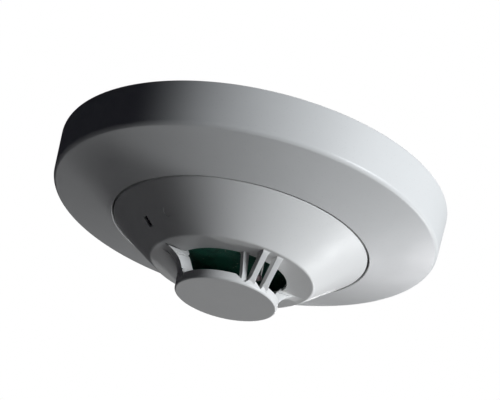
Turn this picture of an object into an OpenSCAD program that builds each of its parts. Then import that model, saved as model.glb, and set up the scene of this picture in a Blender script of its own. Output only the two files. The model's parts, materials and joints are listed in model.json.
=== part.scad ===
// Plug-in heat detector with a flanged ceiling base.
// Origin: centre of the ceiling face. +Z points up into the ceiling, so the detector hangs below Z = 0.
// The sensing cage's two legs lie along X, and its two groups of guard ribs lie along Y.

/* [Trim flange] */
// Diameter of the flange at the ceiling
flange_d = 155; // [148:1:200]
// Height of the flange's upright skirt
skirt_h = 17.1; // [14.5:0.1:24]
// Radius that the skirt loses from the ceiling to its lower edge
skirt_draft = 1.2; // [0.4:0.1:2]
// Drop of the flange's sloping face from the skirt to the head
face_drop = 7; // [5:0.5:12]
// Wall thickness of the flange
flange_wall = 2.4; // [1.8:0.1:3]
// Radius of the rounded edge between skirt and face
flange_edge_r = 1.8; // [0.8:0.1:2.4]
// Number of stiffening ribs behind the flange
flange_ribs = 8; // [4:4:12]
// Thickness of a stiffening rib
flange_rib_t = 1.6; // [1:0.1:2.4]
// Height of the collar that grips the mounting base
collar_h = 12; // [9:0.5:14]
// Wall thickness of the collar
collar_t = 1.8; // [1.2:0.1:2.4]

/* [Mounting base] */
// Thickness of the plate against the ceiling
plate_t = 3; // [2.4:0.2:4]
// Wall thickness of the well that takes the head
well_wall = 2.2; // [1.6:0.1:3]
// Diameter of the wire entry
wire_hole_d = 38; // [26:1:44]
// Smallest distance between the box's two fixing screws
box_pitch_min = 69.85; // [66:0.05:74]
// Largest distance between the box's two fixing screws
box_pitch_max = 88.9; // [84:0.1:90]
// Width of a fixing slot
slot_w = 4.5; // [3.6:0.1:5]
// Size of the terminal blocks along the radius
block_len = 10; // [9:0.5:11]
// Size of the terminal blocks around the ring
block_w = 13; // [11:0.5:16]
// Distance from the well's wall to the terminal screws
terminal_inset = 10.2; // [9:0.1:12]

/* [Terminals] */
// Thickness of the contact strip
strip_t = 0.6; // [0.4:0.05:0.8]
// Width of the contact strip's spring arm
spring_w = 4.4; // [3:0.2:5]
// Radius of the terminal screw's head
screw_head_r = 3.1; // [2.6:0.1:3.4]
// Radius of the terminal screw's thread
screw_r = 1.5; // [1.2:0.1:1.7]
// Height of the terminal screw's head
screw_head_h = 2.2; // [1.6:0.1:2.4]
// Side of the square wire clamp
clamp_side = 7; // [6:0.2:8]
// Thickness of the wire clamp
clamp_t = 0.8; // [0.6:0.1:1]
// Room between the terminal screws and the head's blades
terminal_room = 2.6; // [1:0.1:3]

/* [Head] */
// Diameter of the head at the seam
head_d = 100.6; // [98:0.2:106]
// Width of the seam between head and flange
seam_gap = 0.7; // [0.4:0.1:1.2]
// Height of the head's cone
cone_drop = 14.5; // [11:0.5:18]
// Diameter of the cone's lower rim
rim_d = 64.2; // [62:0.2:70]
// Wall thickness of the head cover
cover_wall = 1.8; // [1.4:0.1:2.2]
// Thickness of the flat floor inside the rim
floor_t = 1.6; // [1.2:0.1:2]
// Diameter of the air hole in the floor
air_hole_d = 43; // [38:0.5:46]
// Height of the cover's upright wall above the seam
cover_rise = 4.5; // [4:0.1:5]

/* [Sensing cage] */
// Clear height of the air windows
window_h = 7.9; // [6:0.1:10]
// Diameter of the guard disc
disc_d = 40; // [36:0.5:42]
// Thickness of the guard disc
disc_t = 3.5; // [2.5:0.1:4.5]
// Radius of the guard disc's lower edge
disc_edge_r = 0.8; // [0.3:0.1:1.2]
// Thickness of a leg
leg_t = 4; // [3:0.2:5]
// Distance from the rim to where a leg meets the floor
leg_inset = 2.6; // [1.4:0.1:4]
// Thickness of a guard rib
rib_t = 2.4; // [1.6:0.1:3]
// Distance between the two front ribs
rib_pitch = 6.2; // [5:0.1:7]
// Depth of a front rib, front to back
rib_depth = 4.5; // [3:0.1:6]
// Distance from the rim to where a front rib meets the floor
rib_inset = 1.5; // [1:0.1:3]
// How far a rib leans sideways between floor and disc
rib_lean = 1.3; // [0:0.1:2.5]
// Depth of the inner strut, front to back
strut_depth = 2.6; // [2:0.1:4]
// Depth of the notches between the ribs in the disc's edge
notch_depth = 2.2; // [1:0.1:2.4]

/* [Indicator windows] */
// Radius from the centre to the indicator windows
led_pcr = 39; // [36:0.5:41]
// Angle of the first indicator window, seen from above
led_angle = 5; // [0:1:10]
// Size of an indicator window along the slope's radius
led_len = 3.4; // [2:0.1:4]
// Size of an indicator window across
led_w = 2; // [1.6:0.1:4]
// Radius of the round test mark
mark_r = 2; // [1.5:0.1:3]
// Depth of the round test mark
mark_depth = 0.3; // [0.1:0.05:0.5]

/* [Rear housing] */
// Wall thickness of the rear housing
housing_wall = 1.6; // [1.2:0.1:2]
// Height of the housing's outer floor above the seam
housing_h = 10.1; // [9.6:0.1:11]
// Distance between the housing's wall and the cover's wall
housing_inset = 1.7; // [1.2:0.1:2.2]
// Depth of the switch tower's top below the ceiling
tower_depth = 8; // [7:0.2:9]
// Distance from the terminal screws to the switch tower
tower_inset = 11; // [10.6:0.1:14]
// Radial gap between the housing and the bayonet ledges
ledge_gap = 0.8; // [0.5:0.1:1]
// Angle that the head turns from locked to free
twist = 17; // [16.5:0.5:19]
// Height of a bayonet lug
lug_h = 2.2; // [1.6:0.1:2.4]

/* [Circuit] */
// Thickness of the two circuit boards
board_t = 1.6; // [1.2:0.2:1.6]
// Gap between the sensor board and the head's cone
sensor_gap = 1.2; // [0.8:0.1:2]
// Height of the bosses that carry the board
boss_h = 0.6; // [0.4:0.1:1]
// Thickness of a contact blade
blade_t = 0.8; // [0.5:0.1:1]
// Side of an address switch
switch_side = 10; // [8:0.5:11]
// Radius of an address switch's rotor
rotor_r = 3.3; // [2.5:0.1:3.6]
// Distance between the two address switches
switch_pitch = 19; // [16:0.5:24]
// Radius of the thermistor bead
bead_r = 1.3; // [0.9:0.1:1.5]
// Radius of a thermistor lead
lead_r = 0.3; // [0.2:0.05:0.4]
// Distance between the thermistor's leads
lead_pitch = 1.4; // [1.2:0.1:1.6]

/* [Clearances] */
// Gap all round the head inside the well
well_gap = 0.9; // [0.8:0.1:1.2]
// Gap between parts that are pushed together
push_gap = 0.1; // [0.05:0.05:0.2]
// Gap between the circuit board and the housing's wall
board_gap = 0.8; // [0.3:0.1:2]
// Gap between a spring arm and the blade beneath it
spring_gap = 0.3; // [0.3:0.05:0.5]
// Gap between parts that turn past each other
turn_gap = 0.4; // [0.3:0.05:0.6]
// Radial gap around screws, rivets and rotors in their holes
bore_gap = 0.06; // [0.03:0.01:0.1]

/* [Hidden] */
$fn = 96;

bury = 0.2; // how far joined shapes run into each other

// Heights of the outside, all below the ceiling
seam_z = -(skirt_h + face_drop);
rim_z = seam_z - cone_drop;
disc_top_z = rim_z - window_h;
disc_z = disc_top_z - disc_t;

// Flange
flange_r = flange_d / 2;
skirt_r = flange_r - skirt_draft;
head_r = head_d / 2;
flange_hole_r = head_r + seam_gap;
face_run = skirt_r - flange_hole_r;
face_slope = face_drop / face_run;
face_thick = flange_wall * sqrt(1 + face_slope * face_slope);
seat_z = seam_z + face_thick;

// Mounting base
well_r = head_r + well_gap;
well_or = well_r + well_wall;
collar_r = well_or + push_gap;
collar_or = collar_r + collar_t;
terminal_pcr = well_r - terminal_inset;
slot_mid_r = (box_pitch_min + box_pitch_max) / 4;
slot_run = (box_pitch_max - box_pitch_min) / 2;
catch_z = seat_z + collar_h * 0.6;
catch_h = 1.4;
catch_span = 12;

// Rear housing
cover_ir = head_r - cover_wall;
housing_r = cover_ir - housing_inset;
floor_top_z = seam_z + housing_h;
floor_low_z = floor_top_z - housing_wall;
tower_z = -tower_depth;
tower_r = terminal_pcr - tower_inset;
lug_span = twist - 3;
lug_top_z = floor_top_z - turn_gap;
lug_low_z = lug_top_z - lug_h;
ledge_top_z = lug_low_z - turn_gap;
ledge_h = 2;
ledge_low_z = ledge_top_z - ledge_h;
ledge_span = lug_span + 2;
ledge_r = housing_r + ledge_gap;
stop_span = 3;
cover_top_z = seam_z + cover_rise;
bayonet_angles = [90, 210, 330];

// Cover
rim_r = rim_d / 2;
rib_first_x = -0.5; // first front rib under the floor, in the near group
strut_x = -5.1; // inner strut under the floor
strut_lean = 2.5 * rib_lean;
notch_low_1 = 2; // from each notch's right end to its lowest point
notch_low_2 = 1.2;
cone_run = head_r - rim_r;
cone_len = sqrt(cone_run * cone_run + cone_drop * cone_drop);
cone_rise = cone_drop / cone_run;
shelf_z = seam_z + 0.9;
catch_low_z = cover_top_z - 1.1;
shelf_r = cover_ir - housing_inset - 0.1;
floor_in_z = rim_z + floor_t;
rim_edge_r = 1;

// Circuit
board_top_z = floor_low_z - boss_h;
board_z = board_top_z - board_t;
blade_top_z = floor_top_z + blade_t;
board_r = housing_r - housing_wall - board_gap;
blade_in_r = tower_r + 2;
blade_out_r = terminal_pcr + 2;
blade_span = 16;
rivet_pcr = tower_r + 3.2;
rivet_r = 0.9;
boss_r = 2.6;
boss_pcr = tower_r + 4;
boss_angles = [20, 120, 255];
board_screw_r = 1;

// Sensor board, which hangs under the main board and closes the cone off above the air hole
sensor_r = max(led_pcr + led_len / 2 - 0.2, boss_pcr + boss_r + 1);
sensor_z = cone_in_z(sensor_r) + sensor_gap;
sensor_top_z = sensor_z + board_t;
led_h = 1.1;

// Terminals
terminal_angles = [45, 135, 225, 315];
block_z = blade_top_z + terminal_room + screw_head_h + clamp_t + strip_t;
strip_z = block_z - strip_t;
clamp_z = strip_z - clamp_t;
spring_low_z = blade_top_z + spring_gap;
spring_reach = 10;
blade_lead = atan(spring_reach / terminal_pcr);

// Address switches
switch_top_z = tower_z - housing_wall - 0.2;
rotor_top_z = tower_z - 0.3;
rotor_low_z = switch_top_z - 2.2;
pocket_z = rotor_low_z - turn_gap;

// Thermistor, which hangs just behind the near ribs, between two of them
bead_x = rib_first_x + rib_lean + rib_pitch / 2;
bead_y = -17.9;
bead_z = disc_top_z + bead_r + 1;
holder_r = 2.2;
holder_z = rim_z + 3;

// Points of an arc from angle a0 to a1, for an outline
function arc(cx, cy, r, a0, a1, steps) =
    [for (i = [0:steps]) let (a = a0 + (a1 - a0) * i / steps) [cx + r * cos(a), cy + r * sin(a)]];

// Height of the flange's sloping face, outside and inside, at a radius
function face_z(r) = -skirt_h - (skirt_r - r) * face_slope;
function face_in_z(r) = face_z(r) + face_thick;

// Height of the head's cone at a radius, outside and inside
function cone_z(r) = seam_z - (head_r - r) * cone_rise;
function cone_in_z(r) = cone_z(r) + cover_wall * cone_len / cone_run;

// A piece of a ring with a rectangular section, centred on an angle
module ring_part(r0, r1, z0, z1, middle, span) {
    rotate([0, 0, middle - span / 2])
        rotate_extrude(angle = span)
            translate([r0, z0])
                square([r1 - r0, z1 - z0]);
}

// A whole ring with a rectangular section
module ring(r0, r1, z0, z1) {
    rotate_extrude()
        translate([r0, z0])
            square([r1 - r0, z1 - z0]);
}

// A round pin or bore from one height to another
module pin(r, z0, z1) {
    translate([0, 0, z0])
        cylinder(r = r, h = z1 - z0, $fn = 48);
}

// A box given by its middle in X and Y, its size and its two heights
module block(x, y, size_x, size_y, z0, z1) {
    translate([x - size_x / 2, y - size_y / 2, z0])
        cube([size_x, size_y, z1 - z0]);
}

// Puts children at a radius and an angle, turned to face outwards
module polar(angle, radius) {
    rotate([0, 0, angle])
        translate([radius, 0, 0])
            children();
}

// An outline in radius and height, extruded to a plate that stands across the X axis
module upright(thick) {
    translate([0, thick / 2, 0])
        rotate([90, 0, 0])
            linear_extrude(thick)
                children();
}

module flange_outline() {
    edge = flange_edge_r;
    lip = 0.4;
    polygon(concat(
        [[flange_r - flange_wall, 0], [flange_r - 0.5, 0], [flange_r, -0.5]],
        arc(skirt_r - edge, -skirt_h + edge * 0.6, edge, 0, -74, 8),
        [[flange_hole_r + lip, face_z(flange_hole_r + lip)]],
        [[flange_hole_r, seam_z + lip], [flange_hole_r, seat_z], [well_or, seat_z]],
        [[well_or + 0.5, face_in_z(well_or + 0.5)]],
        [[skirt_r - flange_wall - 1, face_in_z(skirt_r - flange_wall - 1)]],
        [[skirt_r - flange_wall, face_in_z(skirt_r - flange_wall) + 1.2]]
    ));
}

module flange_rib() {
    in_r = collar_or - bury;
    out_r = skirt_r - flange_wall + bury;
    upright(flange_rib_t)
        polygon([
            [in_r, seat_z + collar_h - 1], [in_r, face_in_z(in_r) - 2 * bury],
            [out_r, face_in_z(out_r) - 2 * bury], [out_r, -7]
        ]);
}

module trim_flange() {
    color("whitesmoke")
        difference() {
            union() {
                rotate_extrude($fn = 144)
                    flange_outline();
                ring(collar_r, collar_or, face_in_z(collar_or) - 2 * bury, seat_z + collar_h);
                for (i = [0:flange_ribs - 1])
                    rotate([0, 0, (i + 0.5) * 360 / flange_ribs])
                        flange_rib();
            }
            for (a = [0, 90, 180, 270])
                ring_part(collar_r - 1, collar_or + 1, catch_z - 0.6, catch_z + catch_h + 0.6, a, catch_span + 3);
        }
}

// A ledge under a locked lug, with a stop on it, and a second stop that ends the turn
module bayonet_ledge(angle) {
    stop_r = ledge_r + 0.4;
    step = 0.6;
    low = angle - ledge_span / 2;
    lock_end = angle + lug_span / 2 + step;
    free_end = angle - twist - lug_span / 2 - step;
    high = lock_end + stop_span + step;
    ring_part(ledge_r, well_r + bury, ledge_low_z, ledge_top_z, (low + high) / 2, high - low);
    ring_part(stop_r, well_r + bury, ledge_top_z - bury, lug_top_z, lock_end + stop_span / 2, stop_span);
    ring_part(stop_r, well_r + bury, ledge_low_z, lug_top_z, free_end - stop_span / 2, stop_span);
}

module fixing_slot() {
    for (end = [-1, 1])
        translate([end * slot_run / 2, 0, 0])
            pin(slot_w / 2, -plate_t - 1, 1);
    block(0, 0, slot_run, slot_w, -plate_t - 1, 1);
}

module mounting_base() {
    color("white")
        difference() {
            union() {
                ring(wire_hole_d / 2, well_or, -plate_t, 0);
                ring(wire_hole_d / 2, wire_hole_d / 2 + 2, -plate_t - 1.5, -plate_t + bury);
                ring(well_r, well_or, seat_z, -plate_t + bury);
                for (a = bayonet_angles)
                    bayonet_ledge(a);
                for (a = [0, 90, 180, 270])
                    ring_part(well_or - bury, collar_or - 0.6, catch_z, catch_z + catch_h, a, catch_span);
                for (a = terminal_angles)
                    polar(a, terminal_pcr)
                        block(0, 0, block_len, block_w, block_z, -plate_t + bury);
            }
            for (side = [0, 180])
                polar(side, slot_mid_r)
                    fixing_slot();
            for (a = terminal_angles)
                polar(a, terminal_pcr)
                    pin(screw_r + bore_gap, block_z - 1, -0.8);
        }
}

// Flat under the clamp, then a spring arm that dips to the head's blade
module contact_outline() {
    flat = block_w / 2 - 1.5;
    path = [
        [-block_w / 2, block_z - strip_t / 2], [flat, block_z - strip_t / 2],
        [spring_reach - 1, spring_low_z + strip_t / 2], [spring_reach + 1, spring_low_z + strip_t / 2],
        [spring_reach + 2.2, spring_low_z + strip_t / 2 + 1.2]
    ];
    last = len(path) - 1;
    polygon(concat(
        [for (p = path) [p[0], p[1] + strip_t / 2]],
        [for (i = [last:-1:0]) [path[i][0], path[i][1] - strip_t / 2]]
    ));
}

module terminal_contact(angle) {
    color("gold")
        polar(angle, terminal_pcr)
            difference() {
                union() {
                    rotate([0, 0, 90])
                        upright(spring_w)
                            contact_outline();
                    block(0, 0, clamp_side, block_w - 1, strip_z, block_z);
                }
                pin(screw_r + 0.3, strip_z - 1, block_z + 1);
            }
}

module wire_clamps() {
    color("silver")
        for (a = terminal_angles)
            polar(a, terminal_pcr)
                difference() {
                    block(0, 0, clamp_side, clamp_side, clamp_z, strip_z);
                    pin(screw_r + 0.3, clamp_z - 1, strip_z + 1);
                }
}

module terminal_screws() {
    color("silver")
        for (a = terminal_angles)
            polar(a, terminal_pcr)
                difference() {
                    union() {
                        pin(screw_r, clamp_z - bury, -1.4);
                        pin(screw_head_r, clamp_z - screw_head_h, clamp_z);
                    }
                    block(0, 0, screw_head_r * 3, 0.8, clamp_z - screw_head_h - 1, clamp_z - screw_head_h + 0.9);
                    block(0, 0, 0.8, screw_head_r * 1.3, clamp_z - screw_head_h - 1, clamp_z - screw_head_h + 0.9);
                }
}

module cover_outline() {
    hole_r = air_hole_d / 2;
    floor_corner_r = rim_r - (floor_in_z - cone_in_z(rim_r)) / -cone_rise;
    polygon(concat(
        [[cover_ir, cover_top_z], [head_r, cover_top_z], [head_r, seam_z + 0.3]],
        [[head_r - 0.3, cone_z(head_r - 0.3)]],
        arc(rim_r - 0.35, rim_z + rim_edge_r, rim_edge_r, -52, -90, 5),
        [[hole_r + 0.3, rim_z], [hole_r, rim_z + 0.3], [hole_r, floor_in_z]],
        [[floor_corner_r, floor_in_z], [shelf_r, cone_in_z(shelf_r)]],
        [[shelf_r, shelf_z], [cover_ir, shelf_z]]
    ));
}

// A flared leg: its outer edge is a hollow curve from the floor down to the disc
module leg_outline() {
    reach = rim_r - leg_inset;
    curve_x = reach + 1 - disc_d / 2;
    low_z = disc_top_z - disc_t * 0.6;
    curve_z = rim_z - low_z;
    top_z = rim_z + floor_t / 2;
    foot = 4.5;
    polygon(concat(
        [[air_hole_d / 2 - 1.5, top_z], [reach, top_z]],
        [for (a = [96:6:180]) [reach + 1 + curve_x * cos(a), low_z + curve_z * sin(a)]],
        [[disc_d / 2 - foot, low_z], [disc_d / 2 - foot, disc_top_z]]
    ));
}

// A slanted bar of the near group, from a place under the floor to a place in the disc
module guard_rib(top_x, top_r, foot_x, foot_r, depth) {
    top_z = rim_z + floor_t / 2;
    foot_z = disc_top_z - 1.3;
    top_y = -sqrt(top_r * top_r - top_x * top_x);
    foot_y = -sqrt(foot_r * foot_r - foot_x * foot_x);
    rib_section(top_x, top_y, depth, rim_z - 0.1, top_z);
    hull() {
        rib_section(top_x, top_y, depth, rim_z - 0.1, rim_z);
        rib_section(foot_x, foot_y, depth, foot_z, foot_z + 0.1);
    }
    rib_section(foot_x, foot_y, depth, foot_z - 1, foot_z + 0.1);
}

module rib_section(x, y, depth, z0, z1) {
    block(x, y + depth / 2, rib_t, depth, z0, z1);
}

// The cage's near group: two front ribs and, to their left, an inner strut at the air hole's edge
module rib_group() {
    reach = rim_r - rib_inset;
    foot_r = disc_d / 2 - 0.1;
    for (x = [rib_first_x, rib_first_x + rib_pitch])
        guard_rib(x, reach, x + rib_lean, foot_r, rib_depth);
    guard_rib(strut_x, air_hole_d / 2 + 2, strut_x + strut_lean, foot_r - 1, strut_depth);
}

// A V-shaped notch in the disc's edge, given by its two upper ends and its lowest point
module disc_notch(left, bottom, right) {
    low_z = disc_top_z - notch_depth;
    translate([0, -disc_d / 2 + 5.5, 0])
        rotate([90, 0, 0])
            linear_extrude(7)
                polygon([
                    [left, disc_top_z + 0.1], [bottom - 0.15, low_z],
                    [bottom + 0.15, low_z], [right, disc_top_z + 0.1]
                ]);
}

module guard_disc() {
    r = disc_d / 2;
    edge = disc_edge_r;
    first = rib_first_x + rib_lean;
    second = first + rib_pitch;
    side_gap = rib_t / 2 - 0.5;
    difference() {
        rotate_extrude()
            polygon(concat(
                [[0, disc_top_z], [r - 0.3, disc_top_z], [r, disc_top_z - 0.3]],
                arc(r - edge, disc_z + edge, edge, 0, -90, 5),
                [[0, disc_z]]
            ));
        for (side = [0, 180])
            rotate([0, 0, side]) {
                disc_notch(first - side_gap - rib_pitch, first - side_gap - notch_low_1, first - side_gap);
                disc_notch(first + side_gap, second - side_gap - notch_low_2, second - side_gap);
            }
    }
}

module light_slot(side, gap) {
    polar(led_angle + side, led_pcr)
        block(0, 0, led_len + 2 * gap, led_w + 2 * gap, rim_z, sensor_z);
}

module head_cover() {
    color("whitesmoke") {
        difference() {
            union() {
                rotate_extrude($fn = 144)
                    cover_outline();
                for (a = [45, 135, 225, 315])
                    ring_part(cover_ir - 0.9, cover_ir + bury, catch_low_z, cover_top_z - 0.1, a, 12);
                for (side = [0, 180])
                    rotate([0, 0, side])
                        upright(leg_t)
                            leg_outline();
                for (side = [0, 180])
                    rotate([0, 0, side])
                        rib_group();
                guard_disc();
            }
            for (side = [0, 180])
                light_slot(side, push_gap);
            polar(led_angle - 161.5, led_pcr + 1)
                translate([0, 0, cone_z(led_pcr + 1)])
                    rotate([0, -atan(cone_rise), 0])
                        translate([0, 0, -2])
                            cylinder(r = mark_r, h = 2 + mark_depth, $fn = 48);
        }
    }
}

module rear_housing() {
    shell_r = housing_r - housing_wall;
    tower_ir = tower_r - housing_wall;
    color("gainsboro")
        difference() {
            union() {
                ring(shell_r, housing_r, shelf_z, floor_top_z);
                ring(housing_r - bury, cover_ir - push_gap, shelf_z, catch_low_z - push_gap);
                ring(tower_ir, housing_r - bury, floor_low_z, floor_top_z);
                ring(tower_ir, tower_r, floor_low_z, tower_z);
                pin(tower_r - bury, tower_z - housing_wall, tower_z);
                for (a = bayonet_angles)
                    ring_part(housing_r - bury, well_r - 1, lug_low_z, lug_top_z, a, lug_span);
                for (a = boss_angles)
                    polar(a, boss_pcr)
                        pin(boss_r, board_top_z, floor_low_z + bury);
            }
            for (side = [-1, 1])
                translate([side * switch_pitch / 2, 0, 0])
                    pin(rotor_r + turn_gap, tower_z - housing_wall - 1, tower_z + 1);
            for (a = boss_angles)
                polar(a, boss_pcr)
                    pin(board_screw_r + bore_gap, board_top_z - 1, floor_top_z - 0.4);
            for (a = terminal_angles)
                polar(a + blade_lead, rivet_pcr)
                    pin(rivet_r + bore_gap, floor_low_z - 1, floor_top_z + 1);
        }
}

module circuit_board() {
    color("darkgreen")
        difference() {
            pin(board_r, board_z, board_top_z);
            for (a = boss_angles)
                polar(a, boss_pcr)
                    pin(board_screw_r + 0.2, board_z - 1, board_top_z + 1);
            for (a = terminal_angles)
                polar(a + blade_lead, rivet_pcr)
                    pin(rivet_r + bore_gap, board_z - 1, board_top_z + 1);
        }
}

// The thermistor's leads and the board screws pass through it
module sensor_board() {
    color("darkgreen")
        difference() {
            pin(sensor_r, sensor_z, sensor_top_z);
            for (a = boss_angles)
                polar(a, boss_pcr)
                    pin(board_screw_r + 0.2, sensor_z - 1, sensor_top_z + 1);
            for (side = [-1, 1])
                translate([bead_x + side * lead_pitch / 2, bead_y, 0])
                    pin(lead_r + bore_gap, sensor_z - 1, sensor_top_z + 1);
        }
}

module board_spacers() {
    color("ivory")
        for (a = boss_angles)
            polar(a, boss_pcr)
                difference() {
                    pin(boss_r, sensor_top_z, board_z);
                    pin(board_screw_r + 0.2, sensor_top_z - 1, board_z + 1);
                }
}

// Carries the sensor board's signals up to the main board
module board_connector() {
    color("black")
        translate([-4, 14, 0]) {
            block(0, 0, 9.5, 2.5, sensor_top_z, board_z);
            block(0, 0, 10.5, 3.5, sensor_top_z, sensor_top_z + 3);
        }
}

module board_screws() {
    color("silver")
        for (a = boss_angles)
            polar(a, boss_pcr)
                difference() {
                    union() {
                        pin(board_screw_r, sensor_z - bury, floor_top_z - 0.7);
                        pin(board_screw_r * 2, sensor_z - 1.4, sensor_z);
                    }
                    block(0, 0, 2.4, 0.5, sensor_z - 2, sensor_z - 0.9);
                    block(0, 0, 0.5, 2.4, sensor_z - 2, sensor_z - 0.9);
                }
}

module contact_blade(angle) {
    middle = angle + blade_lead;
    color("silver")
        difference() {
            ring_part(blade_in_r, blade_out_r, floor_top_z, blade_top_z, middle, blade_span);
            polar(middle, rivet_pcr)
                pin(rivet_r + bore_gap, floor_top_z - 1, blade_top_z + 1);
        }
}

module contact_rivets() {
    color("silver")
        for (a = terminal_angles)
            polar(a + blade_lead, rivet_pcr) {
                pin(rivet_r, board_z - bury, blade_top_z + bury);
                pin(1.8, blade_top_z, blade_top_z + 1);
                pin(1.4, board_z - 0.6, board_z);
            }
}

module address_switch(side) {
    x = side * switch_pitch / 2;
    color("black")
        difference() {
            block(x, 0, switch_side, switch_side, board_top_z, switch_top_z);
            translate([x, 0, 0])
                pin(rotor_r + bore_gap, pocket_z, switch_top_z + 1);
        }
}

// The slot runs right across, and a flat at one end marks the pointer
module address_rotor(side) {
    color("ivory")
        translate([side * switch_pitch / 2, 0, 0])
            difference() {
                pin(rotor_r, rotor_low_z, rotor_top_z);
                block(0, 0, 0.9, rotor_r * 1.5, rotor_top_z - 0.9, rotor_top_z + 1);
                translate([0, rotor_r * 0.62, 0])
                    rotate([0, 0, 90])
                        translate([0, 0, rotor_top_z - 0.9])
                            cylinder(r = 1.2, h = 2, $fn = 3);
            }
}

module control_chip() {
    side = 12;
    top = board_z;
    leads = 8;
    color("dimgray")
        translate([15, 14, 0]) {
            block(0, 0, side, side, top - 1.7, top - 0.1);
            for (turn = [0:90:270])
                rotate([0, 0, turn])
                    for (i = [0:leads - 1])
                        block(side / 2 + 0.6, (i - (leads - 1) / 2) * 1.27, 1.6, 0.45, top - 0.5, top);
        }
}

module filter_capacitors() {
    color("silver")
        for (place = [[-20, -15], [-26, -6]])
            translate([place[0], place[1], 0]) {
                block(0, 0, 6.6, 6.6, board_z - 0.8, board_z);
                pin(3.1, board_z - 5.6, board_z - 0.6);
            }
}

module chip_resistors() {
    color("black")
        for (i = [0:5])
            polar(96 + i * 9, 28)
                block(0, 0, 3.2, 1.6, board_z - 0.6, board_z);
}

module surge_diode() {
    color("dimgray")
        translate([22, -22, 0]) {
            block(0, 0, 7, 6, board_z - 2.3, board_z - 0.1);
            block(0, 0, 8.2, 3, board_z - 1, board_z);
        }
}

module reed_switch() {
    r = 1.1;
    color("lightblue")
        polar(led_angle - 161.5, 35.5)
            translate([0, 0, board_z - r - 0.8])
                rotate([90, 0, 0]) {
                    cylinder(r = r, h = 11, center = true, $fn = 32);
                    cylinder(r = 0.3, h = 17, center = true, $fn = 24);
                    for (end = [-1, 1])
                        translate([0, 0, end * 8.2])
                            rotate([-90, 0, 0])
                                translate([0, 0, -0.2])
                                    cylinder(r = 0.3, h = r + 1, $fn = 24);
                }
}

module status_led(side) {
    color("white")
        polar(led_angle + side, led_pcr) {
            block(0, 0, 3.2, 2.8, sensor_z - led_h + 0.3, sensor_z);
            pin(1.1, sensor_z - led_h, sensor_z - led_h + 0.3 + bury);
        }
}

module light_pipe(side) {
    top_z = sensor_z - led_h - push_gap;
    in_r = led_pcr - led_len / 2 - 0.5;
    out_r = led_pcr + led_len / 2 + 0.5;
    color("lightgray")
        intersection() {
            light_slot(side, 0);
            rotate_extrude()
                polygon([
                    [in_r, top_z], [in_r, cone_z(in_r) + 0.5],
                    [out_r, cone_z(out_r) + 0.5], [out_r, top_z]
                ]);
        }
}

module thermistor_holder() {
    color("ivory")
        difference() {
            translate([bead_x, bead_y, 0]) {
                pin(holder_r, holder_z, sensor_z);
                pin(holder_r + 1.2, sensor_z - 1.4, sensor_z);
            }
            for (side = [-1, 1])
                translate([bead_x + side * lead_pitch / 2, bead_y, 0])
                    pin(lead_r + bore_gap, holder_z - 1, sensor_z + 1);
        }
}

module thermistor_leads() {
    color("silver")
        for (side = [-1, 1])
            translate([bead_x + side * lead_pitch / 2, bead_y, 0])
                pin(lead_r, bead_z, sensor_top_z);
}

module thermistor_bead() {
    color("saddlebrown")
        difference() {
            translate([bead_x, bead_y, bead_z])
                rotate_extrude($fn = 48)
                    polygon(concat(
                        [[0, -bead_r * sin(80)]], arc(0, 0, bead_r, -80, 80, 12), [[0, bead_r * sin(80)]]
                    ));
            for (side = [-1, 1])
                translate([bead_x + side * lead_pitch / 2, bead_y, 0])
                    pin(lead_r + bore_gap / 2, bead_z - bore_gap / 2, bead_z + bead_r + 1);
        }
}

// A blank label that fills the tower's top beside the switches
module rating_label() {
    edge_y = -(switch_side / 2 + 2);
    color("white")
        intersection() {
            pin(tower_r - 2, tower_z, tower_z + 0.15);
            block(0, edge_y - tower_r / 2, 2 * tower_r, tower_r, tower_z - 1, tower_z + 1);
        }
}

trim_flange();
mounting_base();
terminal_contact(terminal_angles[0]);  // terminal_contact_1
terminal_contact(terminal_angles[1]);  // terminal_contact_2
terminal_contact(terminal_angles[2]);  // terminal_contact_3
terminal_contact(terminal_angles[3]);  // terminal_contact_4
wire_clamps();
terminal_screws();
head_cover();
rear_housing();
circuit_board();
sensor_board();
board_spacers();
board_screws();
board_connector();
contact_blade(terminal_angles[0]);  // contact_blade_1
contact_blade(terminal_angles[1]);  // contact_blade_2
contact_blade(terminal_angles[2]);  // contact_blade_3
contact_blade(terminal_angles[3]);  // contact_blade_4
contact_rivets();
address_switch(-1);  // address_switch_tens
address_rotor(-1);  // address_rotor_tens
address_switch(1);  // address_switch_ones
address_rotor(1);  // address_rotor_ones
control_chip();
filter_capacitors();
chip_resistors();
surge_diode();
reed_switch();
status_led(0);  // status_led_1
status_led(180);  // status_led_2
light_pipe(0);  // light_pipe_1
light_pipe(180);  // light_pipe_2
thermistor_holder();
thermistor_leads();
thermistor_bead();
rating_label();
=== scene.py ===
import math

import bmesh
import bpy
from mathutils import Matrix, Vector
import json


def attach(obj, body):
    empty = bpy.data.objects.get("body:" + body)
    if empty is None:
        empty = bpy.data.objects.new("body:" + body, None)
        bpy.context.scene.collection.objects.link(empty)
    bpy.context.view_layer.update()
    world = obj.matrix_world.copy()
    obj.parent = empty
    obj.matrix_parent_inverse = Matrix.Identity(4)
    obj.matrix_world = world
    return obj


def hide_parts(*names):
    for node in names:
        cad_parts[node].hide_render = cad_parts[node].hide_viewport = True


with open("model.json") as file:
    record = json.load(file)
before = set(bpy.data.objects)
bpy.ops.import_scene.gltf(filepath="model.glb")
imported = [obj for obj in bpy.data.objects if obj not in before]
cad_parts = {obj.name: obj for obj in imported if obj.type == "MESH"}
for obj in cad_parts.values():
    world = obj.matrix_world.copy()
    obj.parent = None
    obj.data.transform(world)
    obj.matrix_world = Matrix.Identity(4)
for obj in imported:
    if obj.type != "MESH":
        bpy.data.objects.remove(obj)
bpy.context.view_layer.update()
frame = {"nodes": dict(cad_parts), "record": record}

mm = 0.001
weld = 0.002 * mm  # points nearer than this are one
scene = bpy.context.scene


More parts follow.
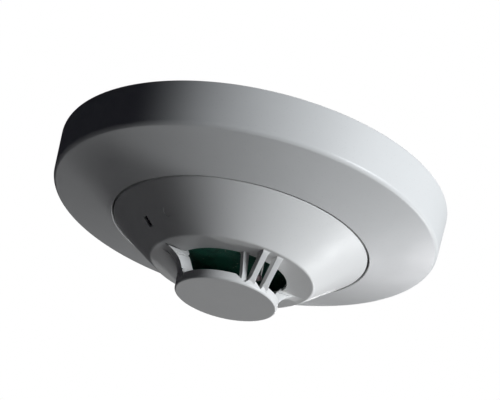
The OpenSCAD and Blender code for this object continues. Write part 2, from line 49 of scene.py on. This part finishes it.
def newMaterial(name):
    material = bpy.data.materials.new(name)
    material.use_nodes = True
    tree = material.node_tree
    shader = tree.nodes["Principled BSDF"]
    return material, tree, shader


def objectPlace(tree, stretch=(1, 1, 1)):
    place = tree.nodes.new("ShaderNodeTexCoord")
    mapping = tree.nodes.new("ShaderNodeMapping")
    mapping.inputs["Scale"].default_value = stretch
    tree.links.new(place.outputs["Object"], mapping.inputs["Vector"])
    return mapping.outputs["Vector"]


def noiseOn(tree, place, size, detail=3, rough=0.55):
    noise = tree.nodes.new("ShaderNodeTexNoise")
    noise.inputs["Scale"].default_value = 1 / size
    noise.inputs["Detail"].default_value = detail
    noise.inputs["Roughness"].default_value = rough
    tree.links.new(place, noise.inputs["Vector"])
    return noise.outputs["Fac"]


def cellsOn(tree, place, size, feature="F1", output="Distance", metric="EUCLIDEAN"):
    cells = tree.nodes.new("ShaderNodeTexVoronoi")
    cells.feature = feature
    if feature != "DISTANCE_TO_EDGE":
        cells.distance = metric
    cells.inputs["Scale"].default_value = 1 / size
    tree.links.new(place, cells.inputs["Vector"])
    return cells.outputs[output]


def spread(tree, value, low, high, fromLow=0.3, fromHigh=0.7):
    ranged = tree.nodes.new("ShaderNodeMapRange")
    ranged.inputs["From Min"].default_value = fromLow
    ranged.inputs["From Max"].default_value = fromHigh
    ranged.inputs["To Min"].default_value = low
    ranged.inputs["To Max"].default_value = high
    tree.links.new(value, ranged.inputs["Value"])
    return ranged.outputs["Result"]


def blendColours(tree, amount, first, second):
    mix = tree.nodes.new("ShaderNodeMix")
    mix.data_type = "RGBA"
    tree.links.new(amount, mix.inputs["Factor"])
    for socket, colour in ((mix.inputs["A"], first), (mix.inputs["B"], second)):
        if isinstance(colour, tuple):
            socket.default_value = (*colour, 1)
        else:
            tree.links.new(colour, socket)
    return mix.outputs["Result"]


def addUp(tree, first, second, how="ADD", factor=None):
    node = tree.nodes.new("ShaderNodeMath")
    node.operation = how
    for index, value in enumerate((first, second, factor)):
        if value is None:
            continue
        if isinstance(value, (int, float)):
            node.inputs[index].default_value = value
        else:
            tree.links.new(value, node.inputs[index])
    return node.outputs["Value"]


def bumpOn(tree, height, depth, strength, shader):
    bump = tree.nodes.new("ShaderNodeBump")
    bump.inputs["Distance"].default_value = depth
    bump.inputs["Strength"].default_value = strength
    tree.links.new(height, bump.inputs["Height"])
    tree.links.new(bump.outputs["Normal"], shader.inputs["Normal"])


def mouldedPlastic(name, colour, shade, rough, grain, grainDepth, haze, coat=0.0):
    material, tree, shader = newMaterial(name)
    place = objectPlace(tree)
    cloud = noiseOn(tree, place, 22 * mm, 4)
    specks = spread(tree, cellsOn(tree, place, grain * 5), 1, 0, 0.08, 0.2)
    tone = blendColours(tree, spread(tree, cloud, 0, 1), colour, shade)
    dark = tuple(c * 0.72 for c in shade)
    dusty = blendColours(tree, addUp(tree, specks, haze, "MULTIPLY"), tone, dark)
    tree.links.new(dusty, shader.inputs["Base Color"])
    fine = noiseOn(tree, place, grain, 2)
    pits = cellsOn(tree, place, grain * 1.6, "SMOOTH_F1")
    uneven = spread(tree, addUp(tree, fine, cloud, "MULTIPLY"), rough - 0.06, rough + 0.08, 0.12, 0.4)
    tree.links.new(uneven, shader.inputs["Roughness"])
    bumpOn(tree, addUp(tree, fine, pits), grainDepth, 0.5, shader)
    shader.inputs["Coat Weight"].default_value = coat
    return material


def platedMetal(name, colour, shade, rough, stretch):
    material, tree, shader = newMaterial(name)
    place = objectPlace(tree)
    brushed = objectPlace(tree, stretch)
    lines = noiseOn(tree, brushed, 1.2 * mm, 3)
    stains = noiseOn(tree, place, 3 * mm, 5, 0.65)
    tone = blendColours(tree, spread(tree, stains, 0, 1, 0.35, 0.75), colour, shade)
    tree.links.new(tone, shader.inputs["Base Color"])
    uneven = spread(tree, addUp(tree, lines, stains, "MULTIPLY"), rough - 0.08, rough + 0.16, 0.1, 0.45)
    tree.links.new(uneven, shader.inputs["Roughness"])
    bumpOn(tree, lines, 0.02 * mm, 0.35, shader)
    shader.inputs["Metallic"].default_value = 1.0
    return material


def solderMask(name):
    material, tree, shader = newMaterial(name)
    place = objectPlace(tree)
    squares = cellsOn(tree, place, 4.2 * mm, "F1", "Distance", "CHEBYCHEV")
    rings = addUp(tree, addUp(tree, squares, 5.0, "MULTIPLY"), 1.0, "MODULO")
    tracks = spread(tree, rings, 0, 1, 0.42, 0.5)
    ground = spread(tree, noiseOn(tree, place, 9 * mm, 1), 0, 1, 0.48, 0.52)
    copper = addUp(tree, tracks, ground, "MAXIMUM")
    vias = spread(tree, cellsOn(tree, place, 3.1 * mm), 1, 0, 0.1, 0.13)
    mask = blendColours(tree, copper, (0.011, 0.075, 0.052), (0.019, 0.13, 0.085))
    tree.links.new(blendColours(tree, vias, mask, (0.42, 0.40, 0.33)), shader.inputs["Base Color"])
    tree.links.new(spread(tree, noiseOn(tree, place, 2 * mm, 3), 0.28, 0.42), shader.inputs["Roughness"])
    bumpOn(tree, addUp(tree, copper, vias), 0.04 * mm, 0.6, shader)
    return material


def clearish(name, colour, shade, rough, transmission):
    material, tree, shader = newMaterial(name)
    place = objectPlace(tree)
    cloud = noiseOn(tree, place, 2 * mm, 3)
    tone = blendColours(tree, spread(tree, cloud, 0, 1), colour, shade)
    tree.links.new(tone, shader.inputs["Base Color"])
    tree.links.new(spread(tree, cloud, rough, rough + 0.12), shader.inputs["Roughness"])
    bumpOn(tree, noiseOn(tree, place, 0.3 * mm, 2), 0.01 * mm, 0.3, shader)
    shader.inputs["Transmission Weight"].default_value = transmission
    shader.inputs["IOR"].default_value = 1.5
    return material


plastics = {  # colour, second colour, roughness, grain's size and depth in millimetres, dust
    "flangePlastic": ((0.80, 0.805, 0.80), (0.765, 0.77, 0.765), 0.42, 0.35, 0.012, 0.15),
    "coverPlastic": ((0.80, 0.80, 0.79), (0.765, 0.765, 0.755), 0.40, 0.3, 0.010, 0.15),
    "basePlastic": ((0.76, 0.76, 0.745), (0.71, 0.71, 0.69), 0.5, 0.45, 0.02, 0.25),
    "housingPlastic": ((0.72, 0.72, 0.70), (0.66, 0.66, 0.64), 0.5, 0.4, 0.02, 0.25),
    "holderPlastic": ((0.62, 0.58, 0.46), (0.52, 0.48, 0.38), 0.55, 0.3, 0.02, 0.3),
    "rotorPlastic": ((0.70, 0.67, 0.56), (0.62, 0.59, 0.49), 0.45, 0.25, 0.012, 0.3),
    "switchBlack": ((0.022, 0.022, 0.025), (0.035, 0.035, 0.037), 0.5, 0.2, 0.014, 0.4),
    "chipEpoxy": ((0.018, 0.018, 0.02), (0.03, 0.03, 0.031), 0.55, 0.15, 0.018, 0.4),
    "beadEpoxy": ((0.10, 0.10, 0.13), (0.22, 0.13, 0.12), 0.22, 0.5, 0.01, 0.3),
    "labelPaper": ((0.80, 0.80, 0.79), (0.77, 0.77, 0.75), 0.6, 0.12, 0.006, 0.2),
}
beadCoat = 0.4
metals = {  # colour, second colour, roughness, stretch of the brush lines
    "contactBrass": ((0.72, 0.53, 0.22), (0.52, 0.36, 0.14), 0.3, (1, 1, 14)),
    "zincSteel": ((0.62, 0.63, 0.65), (0.48, 0.49, 0.50), 0.28, (1, 1, 6)),
    "bladeNickel": ((0.66, 0.64, 0.60), (0.52, 0.50, 0.46), 0.26, (8, 1, 1)),
    "canAluminium": ((0.74, 0.75, 0.77), (0.62, 0.63, 0.65), 0.3, (1, 1, 10)),
    "tinnedLead": ((0.70, 0.69, 0.67), (0.55, 0.54, 0.52), 0.3, (1, 1, 5)),
}
glasses = {  # colour, second colour, roughness, how much light goes through
    "reedGlass": ((0.72, 0.85, 0.82), (0.60, 0.78, 0.74), 0.06, 0.85),
    "lampLens": ((0.85, 0.85, 0.80), (0.78, 0.78, 0.72), 0.3, 0.35),
    "smokedPipe": ((0.045, 0.04, 0.045), (0.02, 0.018, 0.02), 0.12, 0.25),
}
finishes = {"boardGreen": solderMask("boardGreen")}
for name, (colour, shade, rough, grain, depth, dust) in plastics.items():
    coat = beadCoat if name == "beadEpoxy" else 0.0
    finishes[name] = mouldedPlastic(name, colour, shade, rough, grain * mm, depth * mm, dust, coat)
for name, values in metals.items():
    finishes[name] = platedMetal(name, *values)
for name, values in glasses.items():
    finishes[name] = clearish(name, *values)

nodeFinishes = {
    "flangePlastic": ["trim_flange"],
    "basePlastic": ["mounting_base"],
    "contactBrass": [f"terminal_contact_{i}" for i in range(1, 5)],
    "zincSteel": ["wire_clamps", "terminal_screws", "board_screws"],
    "coverPlastic": ["head_cover"],
    "housingPlastic": ["rear_housing"],
    "boardGreen": ["circuit_board", "sensor_board"],
    "bladeNickel": [f"contact_blade_{i}" for i in range(1, 5)] + ["contact_rivets"],
    "switchBlack": ["address_switch_tens", "address_switch_ones", "board_connector"],
    "rotorPlastic": ["address_rotor_tens", "address_rotor_ones"],
    "chipEpoxy": ["control_chip", "surge_diode", "chip_resistors"],
    "canAluminium": ["filter_capacitors"],
    "reedGlass": ["reed_switch"],
    "lampLens": ["status_led_1", "status_led_2"],
    "smokedPipe": ["light_pipe_1", "light_pipe_2"],
    "holderPlastic": ["thermistor_holder", "board_spacers"],
    "tinnedLead": ["thermistor_leads"],
    "beadEpoxy": ["thermistor_bead"],
    "labelPaper": ["rating_label"],
}
for finish, names in nodeFinishes.items():
    for name in names:
        mesh = frame["nodes"][name].data
        mesh.materials.clear()
        mesh.materials.append(finishes[finish])
print("materials ready")


def newPiece(name, bm, finish, body, replaced=(), sharpAngle=32):
    bmesh.ops.remove_doubles(bm, verts=bm.verts, dist=weld)
    bmesh.ops.recalc_face_normals(bm, faces=bm.faces)
    mesh = bpy.data.meshes.new(name)
    bm.to_mesh(mesh)
    bm.free()
    mesh.materials.append(finishes[finish])
    mesh.shade_smooth()
    mesh.set_sharp_from_angle(angle=math.radians(sharpAngle))
    piece = bpy.data.objects.new(name, mesh)
    scene.collection.objects.link(piece)
    flat = piece.modifiers.new("flatFaces", "WEIGHTED_NORMAL")  # wide faces stay flat beside rounded edges
    flat.keep_sharp = True
    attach(piece, body)
    if replaced:
        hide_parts(*replaced)
    return piece


def spinRound(bm, geometry, steps):
    bmesh.ops.spin(bm, geom=geometry, cent=(0, 0, 0), axis=(0, 0, 1), dvec=(0, 0, 0),
                   angle=2 * math.pi, steps=steps, use_merge=True, use_duplicate=False)
    bmesh.ops.remove_doubles(bm, verts=bm.verts, dist=weld)


def spunRing(bm, outline, steps):  # a closed outline of (radius, height) turned round the axis
    verts = [bm.verts.new((r * mm, 0, z * mm)) for r, z in outline]
    edges = [bm.edges.new((verts[i - 1], verts[i])) for i in range(len(verts))]
    spinRound(bm, verts + edges, steps)


def spunSolid(bm, outline, steps):  # an open outline that starts and ends on the axis
    verts = [bm.verts.new((r * mm, 0, z * mm)) for r, z in outline]
    edges = [bm.edges.new((verts[i], verts[i + 1])) for i in range(len(verts) - 1)]
    spinRound(bm, verts + edges, steps)


def bevelRing(bm, radius, height, size, segments):
    found = [e for e in bm.edges if all(abs(math.hypot(v.co.x, v.co.y) / mm - radius) < 0.02
                                       and abs(v.co.z / mm - height) < 0.02 for v in e.verts)]
    bmesh.ops.bevel(bm, geom=found, offset=size * mm, offset_type="OFFSET", segments=segments,
                    profile=0.5, affect="EDGES", material=-1)


def addTo(bm, part):
    mesh = bpy.data.meshes.new("work")
    part.to_mesh(mesh)
    part.free()
    bm.from_mesh(mesh)
    bpy.data.meshes.remove(mesh)


def shapedBar(bm, cuts, shape, edge=0.0, segments=2):
    # a bar of square section whose points go where shape says, from -1 to 1 across and 0 to 1 along
    bar = bmesh.new()
    bmesh.ops.create_cube(bar, size=2.0)
    upright = [e for e in bar.edges if abs(e.verts[0].co.z - e.verts[1].co.z) > 1]
    bmesh.ops.subdivide_edges(bar, edges=upright, cuts=cuts, use_grid_fill=True)
    long = [e for e in bar.edges if (e.verts[0].co.xy - e.verts[1].co.xy).length < 1e-5]
    for v in bar.verts:
        v.co = Vector(shape(v.co.x, v.co.y, (v.co.z + 1) / 2)) * mm
    if edge:
        bmesh.ops.bevel(bar, geom=long, offset=edge * mm, offset_type="OFFSET", segments=segments,
                        profile=0.5, affect="EDGES", material=-1, clamp_overlap=True)
    bmesh.ops.recalc_face_normals(bar, faces=bar.faces)
    addTo(bm, bar)


def cutOrJoin(base, tool, how):
    # base and tool are bmeshes of closed shapes; the result comes back as one
    objects = []
    for part in (base, tool):
        bmesh.ops.recalc_face_normals(part, faces=part.faces)
        mesh = bpy.data.meshes.new("work")
        part.to_mesh(mesh)
        part.free()
        made = bpy.data.objects.new("work", mesh)
        scene.collection.objects.link(made)
        objects.append(made)
    solid = objects[0].modifiers.new("solid", "BOOLEAN")
    solid.operation = how
    solid.solver = "EXACT"
    solid.use_self = True
    solid.object = objects[1]
    bpy.context.view_layer.update()
    done = bpy.data.meshes.new_from_object(objects[0].evaluated_get(bpy.context.evaluated_depsgraph_get()))
    result = bmesh.new()
    result.from_mesh(done)
    for made in objects:
        old = made.data
        bpy.data.objects.remove(made)
        bpy.data.meshes.remove(old)
    bpy.data.meshes.remove(done)
    return result


flange = {
    "outerR": 77.5, "skirtR": 76.3, "skirtH": 17.1, "faceDrop": 7.0, "holeR": 51.0,
    "wall": 2.4, "wellR": 53.4, "collarR": 53.5, "collarWall": 1.8, "collarTop": -9.6,
    "ribCount": 8, "ribT": 1.6, "steps": 256,
    "skirtEdge": 1.35, "backEdge": 0.45, "thinEdge": 0.3, "seamEdge": 0.35, "cornerEdge": 1.2,
}
flange["slope"] = flange["faceDrop"] / (flange["skirtR"] - flange["holeR"])
flange["thick"] = flange["wall"] * math.hypot(1, flange["slope"])
flange["seamZ"] = -flange["skirtH"] - flange["faceDrop"]


def faceZ(r):
    return -flange["skirtH"] - (flange["skirtR"] - r) * flange["slope"]


def flangeShell():
    f = flange
    inR = f["skirtR"] - f["wall"]
    bm = bmesh.new()
    spunRing(bm, [
        (f["outerR"] - f["wall"], 0), (f["outerR"], 0), (f["skirtR"], -f["skirtH"]),
        (f["holeR"], f["seamZ"]), (f["holeR"], f["seamZ"] + f["thick"]),
        (f["wellR"], f["seamZ"] + f["thick"]), (f["wellR"] + 0.5, faceZ(f["wellR"] + 0.5) + f["thick"]),
        (inR, faceZ(inR) + f["thick"]),
    ], f["steps"])
    bevelRing(bm, f["skirtR"], -f["skirtH"], f["skirtEdge"], 8)
    bevelRing(bm, f["outerR"], 0, f["backEdge"], 3)
    bevelRing(bm, f["outerR"] - f["wall"], 0, f["thinEdge"], 2)
    bevelRing(bm, f["holeR"], f["seamZ"], f["seamEdge"], 4)
    bevelRing(bm, inR, faceZ(inR) + f["thick"], f["cornerEdge"], 4)
    collar = bmesh.new()
    outR = f["collarR"] + f["collarWall"]
    spunRing(collar, [
        (f["collarR"], faceZ(f["collarR"]) + f["thick"] - 0.5), (outR, faceZ(outR) + f["thick"] - 0.5),
        (outR, f["collarTop"]), (f["collarR"], f["collarTop"]),
    ], f["steps"])
    bevelRing(collar, outR, f["collarTop"], f["thinEdge"], 3)
    bevelRing(collar, f["collarR"], f["collarTop"], f["thinEdge"], 3)
    bm = cutOrJoin(bm, collar, "UNION")
    ribs = bmesh.new()
    for i in range(f["ribCount"]):
        turn = (i + 0.5) * 2 * math.pi / f["ribCount"]

        def ribShape(u, v, t, turn=turn):
            r = outR - 0.4 if u < 0 else inR + 0.5
            top = f["collarTop"] - 1 if u < 0 else -7
            low = faceZ(r) + f["thick"] - 0.6
            z = low + (top - low) * t
            half = v * f["ribT"] / 2
            x = r * math.cos(turn) - half * math.sin(turn)
            return (x, r * math.sin(turn) + half * math.cos(turn), z)

        shapedBar(ribs, 1, ribShape)
    bm = cutOrJoin(bm, ribs, "UNION")
    return newPiece("flangeShell", bm, "flangePlastic", "base", ["trim_flange"])


head = {
    "headR": 50.3, "seamZ": -24.1, "rimR": 32.1, "rimZ": -38.6, "wall": 1.8, "innerR": 48.5,
    "topZ": -19.6, "shelfZ": -23.2, "shelfR": 46.7, "floorT": 1.6, "holeR": 21.5, "steps": 256,
    "rimEdge": 0.55, "seamEdge": 0.3, "holeEdge": 0.3, "topEdge": 0.2,
}
cage = {
    "discR": 20.0, "discTop": -46.5, "discLow": -50.0,
    "discEdge": 0.8, "discTopEdge": 0.3, "discSteps": 192,
    "legT": 4.0, "legReach": 28.2, "legEdge": 0.35, "ribEdge": 0.25, "legFoot": 15.5,
    "ribT": 2.4, "ribDepth": 4.5,
    "ribs": (  # for each rib: middle and front at the floor, middle and front at the disc, depth
        (-5.1, -22.9, -1.8, -18.8, 2.6), (-0.5, -30.6, 0.8, -19.9, 4.5), (5.7, -30.1, 7.0, -18.6, 4.5)),
    "notches": ((-6.1, -1.9, 0.1), (1.5, 5.1, 6.3)),  # left end, bottom and right end of each notch
    "notchDepth": 2.2,
}
windows = {
    "radius": 39.0, "angle": 5.0, "long": 3.4, "wide": 2.0, "gap": 0.1,
    "markTurn": -161.5, "markR": 2.0, "markDepth": 0.3,  # the round recess beside one window
}
head["rise"] = (head["rimZ"] - head["seamZ"]) / (head["headR"] - head["rimR"])


def coneZ(r):
    return head["seamZ"] + (head["headR"] - r) * head["rise"]


def windowCuts():
    w = windows
    slots = bmesh.new()
    for turn in (w["angle"], w["angle"] + 180):
        long, wide = w["long"] + 2 * w["gap"], w["wide"] + 2 * w["gap"]
        size = Matrix.Diagonal((long * mm, wide * mm, 24 * mm, 1))
        way = Matrix.Rotation(math.radians(turn), 4, "Z")
        place = Matrix.Translation((w["radius"] * mm, 0, -30 * mm))
        bmesh.ops.create_cube(slots, size=1.0, matrix=way @ place @ size)
    tilt = math.atan(-head["rise"])
    centre = w["radius"] + 1
    clear = 2  # how far the cutter stands out of the cone
    turned = Matrix.Rotation(math.radians(w["angle"] + w["markTurn"]), 4, "Z")
    placed = Matrix.Translation((centre * mm, 0, coneZ(centre) * mm)) @ Matrix.Rotation(-tilt, 4, "Y")
    sunk = Matrix.Translation((0, 0, (w["markDepth"] - clear) / 2 * mm))
    radius = w["markR"] * mm
    bmesh.ops.create_cone(slots, cap_ends=True, segments=48, radius1=radius, radius2=radius,
                          depth=(w["markDepth"] + clear) * mm, matrix=turned @ placed @ sunk)
    return slots


def headShell():
    h, c = head, cage
    thickUp = h["wall"] * math.hypot(1, h["rise"])
    floorIn = h["rimZ"] + h["floorT"]
    cornerR = h["rimR"] - (floorIn - coneZ(h["rimR"]) - thickUp) / h["rise"]
    bm = bmesh.new()
    spunRing(bm, [
        (h["innerR"], h["topZ"]), (h["headR"], h["topZ"]), (h["headR"], h["seamZ"]),
        (h["rimR"], h["rimZ"]), (h["holeR"], h["rimZ"]), (h["holeR"], floorIn),
        (cornerR, floorIn), (h["shelfR"], coneZ(h["shelfR"]) + thickUp), (h["shelfR"], h["shelfZ"]),
        (h["innerR"], h["shelfZ"]),
    ], h["steps"])
    bevelRing(bm, h["rimR"], h["rimZ"], h["rimEdge"], 6)
    bevelRing(bm, h["headR"], h["seamZ"], h["seamEdge"], 4)
    bevelRing(bm, h["holeR"], h["rimZ"], h["holeEdge"], 3)
    bevelRing(bm, h["headR"], h["topZ"], h["topEdge"], 2)

    disc = bmesh.new()
    top, low = c["discTop"], c["discLow"]
    spunSolid(disc, [(0, top), (c["discR"], top), (c["discR"], low), (0, low)], c["discSteps"])
    bevelRing(disc, c["discR"], c["discLow"], c["discEdge"], 6)
    bevelRing(disc, c["discR"], c["discTop"], c["discTopEdge"], 3)

    bars = bmesh.new()
    lowZ = c["discTop"] - (c["discTop"] - c["discLow"]) * 0.6
    topZ = h["rimZ"] + h["floorT"] / 2
    curveX = c["legReach"] + 1 - c["discR"]
    curveZ = h["rimZ"] - lowZ

    def legShape(side):
        def shape(u, v, t):
            z = lowZ + (topZ - lowZ) * t
            up = min(max((z - lowZ) / curveZ, 0), 0.995)
            outer = c["legReach"] + 1 - curveX * math.sqrt(1 - up * up)
            along = max(0, (z - c["discTop"]) / (h["rimZ"] - c["discTop"]))
            inner = c["legFoot"] + (c["discR"] - c["legFoot"]) * along
            nearDisc = max(0, 1 - (z - c["discTop"]) / 1.6) ** 2 if z > c["discTop"] else 1
            nearFloor = max(0, 1 - (h["rimZ"] - z) / 1.4) ** 2 if z < h["rimZ"] else 1
            half = c["legT"] / 2 + 0.8 * nearDisc + 0.7 * nearFloor
            return (side * (outer if u > 0 else inner), v * half, z)
        return shape

    def ribShape(side, topX, topY, footX, footY, depth):
        footZ = c["discTop"] - 1.3
        endZ = footZ - 1

        def shape(u, v, t):
            z = endZ + (topZ - endZ) * t
            slide = min(max((h["rimZ"] - z) / (h["rimZ"] - footZ), 0), 1)
            front = topY + (footY - topY) * slide
            nearDisc = min(max(1 - (z - c["discTop"] + 0.6) / 1.6, 0), 1)
            nearFloor = max(0, 1 - (h["rimZ"] - z) / 1.0) ** 2 if z < h["rimZ"] else 1
            half = c["ribT"] / 2 * (1 - 0.12 * slide) + 0.25 * nearDisc ** 2 + 0.15 * nearFloor
            x = topX + (footX - topX) * slide + u * half
            y = front if v < 0 else front + depth
            return (-side * x, -side * y, z)
        return shape

    for side in (-1, 1):
        shapedBar(bars, 31, legShape(side), c["legEdge"])
        for rib in c["ribs"]:
            shapedBar(bars, 27, ribShape(side, *rib), c["ribEdge"])
    notches = bmesh.new()
    for side in (-1, 1):
        for left, bottom, right in c["notches"]:
            def notchShape(u, v, t):
                x = bottom + ((left if u < 0 else right) - bottom) * t + 0.15 * u
                z = c["discTop"] - c["notchDepth"] * (1 - t) + 0.1 * t
                return (-side * x, side * (14.5 if v < 0 else c["discR"] + 1), z)
            shapedBar(notches, 1, notchShape)
    disc = cutOrJoin(disc, notches, "DIFFERENCE")
    bmesh.ops.recalc_face_normals(bars, faces=bars.faces)
    bm = cutOrJoin(bm, cutOrJoin(disc, bars, "UNION"), "UNION")

    bm = cutOrJoin(bm, windowCuts(), "DIFFERENCE")
    return newPiece("headShell", bm, "coverPlastic", "head", ["head_cover"])


flangeShell()
print("flange done")
headShell()
print("head done")

softened = {  # width of the softened edge for each part, in millimetres
    "mounting_base": 0.2, "rear_housing": 0.2,
    "terminal_contact_1": 0.08, "terminal_contact_2": 0.08,
    "terminal_contact_3": 0.08, "terminal_contact_4": 0.08,
    "wire_clamps": 0.12, "terminal_screws": 0.12, "board_screws": 0.12,
    "board_spacers": 0.15, "board_connector": 0.15,
    "contact_blade_1": 0.1, "contact_blade_2": 0.1, "contact_blade_3": 0.1, "contact_blade_4": 0.1,
    "contact_rivets": 0.15, "address_switch_tens": 0.15, "address_switch_ones": 0.15,
    "surge_diode": 0.15, "chip_resistors": 0.06, "filter_capacitors": 0.2,
    "status_led_1": 0.12, "status_led_2": 0.12, "light_pipe_1": 0.12, "light_pipe_2": 0.12,
    "thermistor_holder": 0.15,
}
record = frame["record"]
bodyOf = {node: body for body, nodes in record["behaviour"]["bodies"].items() for node in nodes}


def softCopy(node, width):
    # the part again with its sharp edges rounded, so that they catch the light
    finish = next(f for f, names in nodeFinishes.items() if node in names)
    bm = bmesh.new()
    bm.from_mesh(frame["nodes"][node].data)
    bmesh.ops.remove_doubles(bm, verts=bm.verts, dist=weld)
    bmesh.ops.dissolve_limit(bm, angle_limit=math.radians(0.6), verts=bm.verts, edges=bm.edges)
    sharp = [e for e in bm.edges if e.is_manifold and e.calc_face_angle(0) > math.radians(50)]
    bmesh.ops.bevel(bm, geom=sharp, offset=width * mm, offset_type="OFFSET", segments=2, profile=0.5,
                    affect="EDGES", material=-1, clamp_overlap=True)
    return newPiece(node + "_soft", bm, finish, bodyOf[node], [node])


for node, width in softened.items():
    softCopy(node, width)
print("softened parts done")


studio = {
    "floorDrop": 2500, "floorSize": 1500, "white": 1.0, "ambient": 0.012,
    "floorLampSize": 1200, "floorLampHeight": 900, "floorLampPower": 5,
    "lampAim": -25,
}
lamps = {
    "key": {"azimuth": -55, "below": 2, "distance": 1500, "size": 500, "power": 22,
            "colour": (0.93, 0.965, 1.0)},
    "side": {"azimuth": 9, "below": 30, "distance": 1500, "size": 250, "power": 5.7,
             "colour": (0.97, 0.99, 1.0)},
    "far": {"azimuth": 42, "below": 18, "distance": 1500, "size": 250, "power": 3.6,
            "colour": (0.97, 0.97, 1.0)},
    "low": {"azimuth": 0, "below": 60, "distance": 1500, "size": 600, "power": 0.8,
            "colour": (1.0, 1.0, 1.0)},
    "back": {"azimuth": 65, "below": -20, "distance": 1500, "size": 500, "power": 9,
             "colour": (1.0, 1.0, 1.0)},
    "top": {"azimuth": 0, "below": -88, "distance": 1400, "size": 300, "power": 5,
            "colour": (1.0, 1.0, 1.0)},
}
view = {
    "aim": (1.305, 2.148, -5.206), "distance": 614.59, "azimuth": -21.5, "elevation": -25.44,
    "roll": 13.29, "lens": 111.92, "sensor": 36,
}


def addFloor():
    material, tree, shader = newMaterial("paleFloor")
    place = objectPlace(tree)
    patches = spread(tree, noiseOn(tree, place, 0.4, 4), 0, 1)
    tone = blendColours(tree, patches, (0.80, 0.80, 0.80), (0.76, 0.76, 0.76))
    tree.links.new(tone, shader.inputs["Base Color"])
    shader.inputs["Roughness"].default_value = 0.8
    bm = bmesh.new()
    bmesh.ops.create_grid(bm, x_segments=8, y_segments=8, size=studio["floorSize"] / 2 * mm,
                          matrix=Matrix.Translation((0, 0, -studio["floorDrop"] * mm)))
    mesh = bpy.data.meshes.new("floor")
    bm.to_mesh(mesh)
    bm.free()
    mesh.materials.append(material)
    floor = bpy.data.objects.new("floor", mesh)
    scene.collection.objects.link(floor)


def addSky():
    world = bpy.data.worlds.new("studio")
    world.use_nodes = True
    tree = world.node_tree
    plain = tree.nodes["Background"]
    plain.inputs["Color"].default_value = (0.72, 0.74, 1, 1)
    plain.inputs["Strength"].default_value = studio["ambient"]
    backdrop = tree.nodes.new("ShaderNodeBackground")
    backdrop.inputs["Strength"].default_value = studio["white"]
    rays = tree.nodes.new("ShaderNodeLightPath")
    choose = tree.nodes.new("ShaderNodeMixShader")
    tree.links.new(rays.outputs["Is Camera Ray"], choose.inputs[0])
    tree.links.new(plain.outputs[0], choose.inputs[1])
    tree.links.new(backdrop.outputs[0], choose.inputs[2])
    tree.links.new(choose.outputs[0], tree.nodes["World Output"].inputs["Surface"])
    backdrop.inputs["Color"].default_value = (1, 1, 1, 1)
    scene.world = world


def addLamp(name, l):
    data = bpy.data.lights.new(name, "AREA")
    data.shape = "DISK"
    data.size = l["size"] * mm
    data.energy = l["power"]
    data.color = l["colour"]
    lamp = bpy.data.objects.new(name, data)
    scene.collection.objects.link(lamp)
    turn, drop = math.radians(l["azimuth"]), math.radians(l["below"])
    way = Vector((math.cos(drop) * math.cos(turn), math.cos(drop) * math.sin(turn), -math.sin(drop)))
    lamp.location = way * l["distance"] * mm + Vector((0, 0, studio["lampAim"] * mm))
    lamp.rotation_euler = (-way).to_track_quat("-Z", "Y").to_euler()


def addFloorLamp():
    # shines down only, so that the floor is pale and the head is not lit by it
    data = bpy.data.lights.new("floorLamp", "AREA")
    data.shape = "DISK"
    data.size = studio["floorLampSize"] * mm
    data.energy = studio["floorLampPower"]
    lamp = bpy.data.objects.new("floorLamp", data)
    lamp.location = (0, 0, -(studio["floorDrop"] - studio["floorLampHeight"]) * mm)
    lamp.visible_camera = False
    scene.collection.objects.link(lamp)


def addCamera():
    data = bpy.data.cameras.new("camera")
    data.lens = view["lens"]
    data.sensor_width = view["sensor"]
    data.clip_start = 0.01
    camera = bpy.data.objects.new("camera", data)
    scene.collection.objects.link(camera)
    a, e = math.radians(view["azimuth"]), math.radians(view["elevation"])
    back = Vector((math.sin(a) * math.cos(e), -math.cos(a) * math.cos(e), math.sin(e)))
    aim = Vector(view["aim"]) * mm
    camera.location = aim + back * view["distance"] * mm
    facing = (-back).to_track_quat("-Z", "Y").to_matrix().to_4x4()
    camera.rotation_euler = (facing @ Matrix.Rotation(math.radians(view["roll"]), 4, "Z")).to_euler()
    scene.camera = camera
    scene.view_settings.view_transform = "Standard"


addFloor()
addSky()
for name, values in lamps.items():
    addLamp(name, values)
addFloorLamp()
addCamera()
print("stage done")
